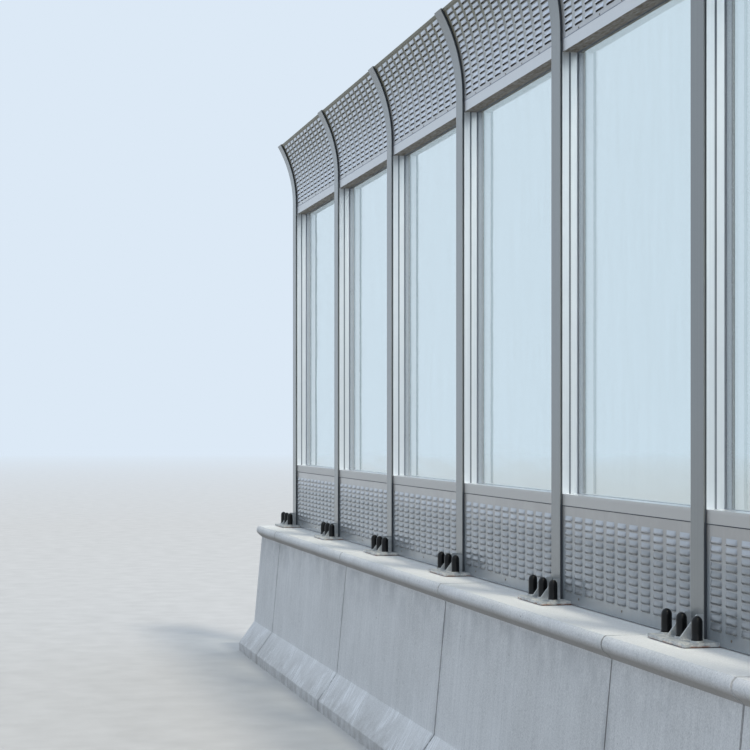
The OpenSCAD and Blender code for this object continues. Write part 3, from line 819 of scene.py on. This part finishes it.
def louvredBody(panel):
    # A panel in (x, s, d): s is the distance up its face and d the depth behind it. The
    # face is one grid over x and s, level but for the hoods, where with t from -1 to 1
    # across a hood and v from 0 at its lip to 1 at its top
    # d = -out * sqrt(1 - t^acrossPower) * (1 - v^upPower).
    # The grid is open under each lip, where the slot runs into a shallow closed hollow.
    # Returned with it is a number for each face: 0 plain, 1 hood, 2 inside of a slot.
    k = louvres
    half = row["bodyLength"] / 2
    rows, slot = panel["rows"], panel["slot"]
    t = np.array(k["across"])
    v = np.array(k["up"])
    centres = (np.arange(k["columns"]) - (k["columns"] - 1) / 2) * k["columnPitch"]
    low = panel["first"] - slot / 2 + np.arange(rows) * k["rowPitch"]
    rise = np.array([0, slot, *(slot + v * (k["hood"] - slot)), k["hood"]])
    lines = len(rise)
    xs = np.concatenate([[-half], (centres[:, None] + k["half"] * t).ravel(), [half]])
    top = panel["height"]
    ss = np.concatenate([[panel["notch"]], (low[:, None] + rise).ravel(), [top - k["hem"], top]])
    arch = np.sqrt(1 - t ** k["acrossPower"])
    bulge = np.concatenate([[0], np.tile(arch, k["columns"]), [0]])
    slope = [0, 1, *(1 - v ** k["upPower"]), 0]
    fall = np.concatenate([[0], np.tile(slope, rows), [0, 0]])
    gx, gs = np.meshgrid(xs, ss, indexing="ij")
    front = np.stack([gx, gs, -k["out"] * np.outer(bulge, fall)], 2)
    nx, ns = gx.shape
    number = np.arange(nx * ns).reshape(nx, ns)
    back = np.stack(np.broadcast_arrays(
        np.array([-half, half])[:, None], ss, float(row["bodyDepth"])), 2).reshape(-1, 3)
    leftBack, rightBack = nx * ns + np.arange(2 * ns).reshape(2, ns)

    def quads(a, b, c, d):
        # One face for each set of four corner numbers
        return np.stack([a, b, c, d], -1).reshape(-1, 4)

    # face, without the quads under the lips: band counts the grid's steps up a louvre,
    # 0 plain, 1 slot, 2 and up hood
    inColumn = (np.arange(nx - 1) % len(t) != 0)[:, None]
    band = np.where(np.arange(ns - 1) < lines * rows, np.arange(ns - 1) % lines, 0)
    closed = ~(inColumn & (band == 1))
    a, b, c, d = number[:-1, :-1], number[1:, :-1], number[1:, 1:], number[:-1, 1:]
    groups = [quads(a[closed], b[closed], c[closed], d[closed])]
    surface = [(inColumn & (band > 1))[closed].astype(float)]

    # hollows: floor, back, inside of the hood and edge of the lip
    i = 1 + len(t) * np.arange(k["columns"])[:, None, None] + np.arange(len(t))
    j = 1 + lines * np.arange(rows)[None, :, None]
    x, s = xs[i] + 0 * j, ss[j] + 0 * i
    hoodTop = s + k["hood"]
    lipOut = -k["out"] * bulge[i] + 0 * j
    hollow = np.stack([
        np.stack([x, s, 0 * x + panel["pocket"]], -1),
        np.stack([x, hoodTop - k["sheet"], 0 * x + k["sheet"]], -1),
        np.stack([x, s + slot, lipOut + k["sheet"]], -1)])
    extra = nx * ns + 2 * ns + np.arange(hollow[..., 0].size).reshape(hollow.shape[:-1])
    loop = [number[i, j], *extra, number[i, j + 1]]
    for near, far in zip(loop[:-1], loop[1:]):
        groups.append(quads(near[..., :-1], near[..., 1:], far[..., 1:], far[..., :-1]))
    ends = np.stack(loop, -1)
    groups += [ends[:, :, 0].reshape(-1, len(loop)), ends[:, :, -1, ::-1].reshape(-1, len(loop))]
    surface += [np.full(len(group), 2.0) for group in groups[1:]]

    # back, ends, foot and top of the body
    groups += [
        quads(rightBack[:-1], leftBack[:-1], leftBack[1:], rightBack[1:]),
        quads(number[0, 1:], leftBack[1:], leftBack[:-1], number[0, :-1]),
        quads(number[-1, :-1], rightBack[:-1], rightBack[1:], number[-1, 1:]),
        np.concatenate([number[::-1, 0], [leftBack[0], rightBack[0]]])[None],
        np.concatenate([number[:, -1], [rightBack[-1], leftBack[-1]]])[None]]
    points = np.vstack([front.reshape(-1, 3), back, hollow.reshape(-1, 3)])
    return (points, groups), np.concatenate(surface)


def hem():
    # Folded strip along the top of a curved panel, its two outer corners cut off: an
    # outline in depth and distance up the face, carried along x
    k = curvedPanel
    top, low, out = k["height"], k["height"] - louvres["hem"], k["hemOut"]
    outline = [
        (k["hemIn"], low), (k["hemIn"], top), (k["hemUpper"] - out, top),
        (-out, top - k["hemUpper"]), (-out, low + k["hemLower"]), (k["hemLower"] - out, low)]
    points, groups = carried(outline, (-k["hemHalf"], k["hemHalf"]))
    return points[:, [0, 2, 1]], groups


print("louvred panels")
lowerShape, lowerSurface = louvredBody(lowerPanel)
points, groups = block((-lowerPanel["notchHalf"], 0, 0),
                       (lowerPanel["notchHalf"], row["bodyDepth"], lowerPanel["notch"]))
lowerShape = joined(lowerShape, (points[:, [0, 2, 1]], groups))
upperShape, upperSurface = louvredBody(curvedPanel)
upperShape = joined(upperShape, hem())
for number, centre in enumerate(bayXs[::-1], 1):
    piece = newPiece("lowerLouvres_%d" % number, onFace(lowerShape, lowerFace, centre), sheet,
                     surface=lowerSurface)
    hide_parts("lower_panel_%d" % number)
    piece = newPiece("curvedLouvres_%d" % number, onFace(upperShape, headFace, centre), sheet,
                     surface=upperSurface)
    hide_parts("curved_panel_%d" % number)


# Anchor caps

cap = {
    "radius": 24.5, "height": 102, "dome": 26, "rimHeight": 5,
    "rimOut": 1,         # how far the rim stands out from the top of the skirt
    "rimSlope": 1.5,     # height of the slope from rim to skirt
    "draft": (0.3, 0.2),  # what the skirt is wider by above the rim and halfway up
    "alongRow": 178, "fromPost": 145,
    "sides": 28, "domeSteps": 8,
}


def capProfile():
    # Straight skirt on a small rim, closed by a quarter ellipse: radius r cos a, height
    # dome sin a above the skirt
    a = np.radians(np.linspace(0, 90, cap["domeSteps"] + 1))[:-1]
    skirt = cap["height"] - cap["dome"]
    r = cap["radius"] - cap["rimOut"]
    low, middle = cap["draft"]
    dome = np.column_stack([r * np.cos(a), skirt + cap["dome"] * np.sin(a)])
    return np.vstack([
        [(0, 0), (cap["radius"], 0), (cap["radius"], cap["rimHeight"]),
         (r + low, cap["rimHeight"] + cap["rimSlope"]), (r + middle, skirt / 2)],
        dome, [(0, cap["height"])]])


print("anchor caps")
anchors = [(x + n * cap["alongRow"], side * cap["fromPost"], row["washerTop"])
           for x in postXs for side in (-1, 1) for n in (-1, 0, 1)]
caps = repeated(turned(capProfile(), cap["sides"]), anchors)
piece = newPiece("capsMoulded", caps, blackPlastic, smooth=True)
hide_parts("anchor_caps")


# Rivets and screws: along the head's foot and the low panel's foot

fixings = {
    "rivetOffsets": (-656, -328, 0, 328, 656),
    "rivetRadius": 6, "rivetHeight": 2.2, "rivetZ": 4078,
    "screwOffsets": (-656, 0, 656),
    "screwRadius": 6.5, "screwHeight": 3.0, "screwZ": 1190,
    "sunk": 1.5,         # how far a head's base goes into the sheet
    "sides": 12, "domeSteps": 4,
}


def domeProfile(radius, height):
    # A low dome: radius cos a, height sin a, on a short base sunk into the sheet
    k = fixings
    a = np.radians(np.linspace(0, 90, k["domeSteps"] + 1))[:-1]
    return np.vstack([[(0, -k["sunk"]), (radius, -k["sunk"])],
                      np.column_stack([radius * np.cos(a), height * np.sin(a)]), [(0, height)]])


print("rivets and screws")
for name, kind in (("panelRivets", "rivet"), ("panelScrews", "screw")):
    profile = domeProfile(fixings[kind + "Radius"], fixings[kind + "Height"])
    shape = turned(profile, fixings["sides"], towardsFront=True)
    places = [(x + offset, row["faceY"], fixings[kind + "Z"])
              for x in bayXs for offset in fixings[kind + "Offsets"]]
    newPiece(name, repeated(shape, places), headSteel, smooth=True)


# Rubber trims: the lip clipped over the front edges of the posts, the gasket between
# panel and sill, the seam between transom and head, and on the stiles the lining behind
# the pane and the strip in the groove

trims = {
    "lipOut": 1.5,       # how far the lip stands off the flange edge
    "lipIn": 1.5,        # and how far it goes in past it
    # stretches up the post's face, each with the depth at which the lip starts: beside
    # the low panel, beside the window, beside the head
    "lipRuns": ((1, 490, 3), (490, 2890, 6), (2890, 3488, 3)),
    "lipWrap": 0.6,      # how far it comes round onto the back of the flange
    "lipSteps": 24,      # round the bend
    "flange": 10,
    "gasketZ": (1652.5, 1656.5), "gasketOut": 1.5,
    "seamZ": (4068, 4072), "seamOut": 0.8,
    "sunk": 2,           # how far gasket and seam go in behind the face
    "inner": 928,        # inner face of the stiles, from the middle of a bay
    # depth is what a lining or strip stands out from that face, and a groove is below 0
    "liningY": (43.5, 60.5), "liningZ": (1716, 4004), "liningDepth": (0, 1.5),
    "stripY": (-25, -15), "stripZ": (1716, 4004), "stripDepth": (-5, 0.6),
}


def edgeLips():
    # A thin channel's outline in (x, d), carried up the post's face and round its bend
    k = trims
    far = k["flange"] + k["lipWrap"]
    straight = postFace["straight"]
    shapes = []
    for start, end, near in k["lipRuns"]:
        stations = np.linspace(straight, end, k["lipSteps"] + 1) if end > straight else [end]
        stations = np.concatenate([[start], stations])
        for side in (-1, 1):
            low, high = sorted((
                side * (row["postHalf"] - k["lipIn"]), side * (row["postHalf"] + k["lipOut"])))
            outline = [(low, near), (high, near), (high, far), (low, far)]
            points, groups = carried(outline, stations)
            shapes += [onFace((points[:, [1, 0, 2]], groups), postFace, x) for x in postXs]
    return joined(*shapes)


def acrossBay(kind):
    # A strip along each bay: x from -clearHalf to clearHalf, y from faceY - out to
    # faceY + sunk
    low, high = trims[kind + "Z"]
    near, far = row["faceY"] - trims[kind + "Out"], row["faceY"] + trims["sunk"]
    half = row["clearHalf"]
    return repeated(block((-half, near, low), (half, far, high)), inEachBay)


def besideStiles(kind):
    # Two blocks in each bay, one on each stile's inner face: x = side * (inner - depth)
    (nearY, farY), (low, high) = trims[kind + "Y"], trims[kind + "Z"]
    shapes = []
    for side in (-1, 1):
        near, far = sorted(side * (trims["inner"] - depth) for depth in trims[kind + "Depth"])
        shapes.append(block((near, nearY, low), (far, farY, high)))
    return repeated(joined(*shapes), inEachBay)


print("rubber trims")
newPiece("edgeLips", edgeLips(), blackRubber)
newPiece("sillGaskets", acrossBay("gasket"), blackRubber)
newPiece("headSeams", acrossBay("seam"), greyRubber)
newPiece("stileLinings", besideStiles("lining"), greyRubber)
newPiece("grooveStrips", besideStiles("strip"), stripRubber)


# Weld beads at the feet of the gussets and posts

weld = {
    "leg": 6,
    "sunk": 1,           # how far a bead goes into what it joins
    "bulge": (0.72, 0.35),  # the slope's two points, as shares of the leg
    "gussetX": (65, 75), "gussetY": (75, 178), "postX": 64,
}


def weldBeads():
    # A bead's outline is a quarter of a ripple: two legs and a bulged slope between them,
    # carried along the foot of each gusset and of each flange
    leg, sunk = weld["leg"], weld["sunk"]
    more, fewer = leg * np.array(weld["bulge"])
    outline = np.array([(-sunk, -sunk), (leg, -sunk), (more, fewer), (fewer, more), (-sunk, leg)])
    shapes = []
    points, groups = carried(outline, weld["gussetY"])   # (Y, Z, X) beside a gusset
    for side in (-1, 1):
        for x in weld["gussetX"]:
            out = side if x == max(weld["gussetX"]) else -side
            for depth in (-1, 1):
                placed = points[:, [2, 0, 1]] * [out, depth, 1] + [side * x, 0, row["plateTop"]]
                shapes.append((placed, [g if out == depth else g[:, ::-1] for g in groups]))
    points, groups = carried(outline, (-weld["postX"], weld["postX"]))   # (X, Y, Z) at a flange
    for depth in (-1, 1):
        placed = points * [1, depth, 1] + [0, depth * row["postHalf"], row["plateTop"]]
        shapes.append((placed, [g if depth > 0 else g[:, ::-1] for g in groups]))
    return joined(*shapes)


print("weld beads")
beads = repeated(weldBeads(), [(x, 0, 0) for x in postXs])
newPiece("weldBeads", beads, plateSteel)


# The end

print("done")
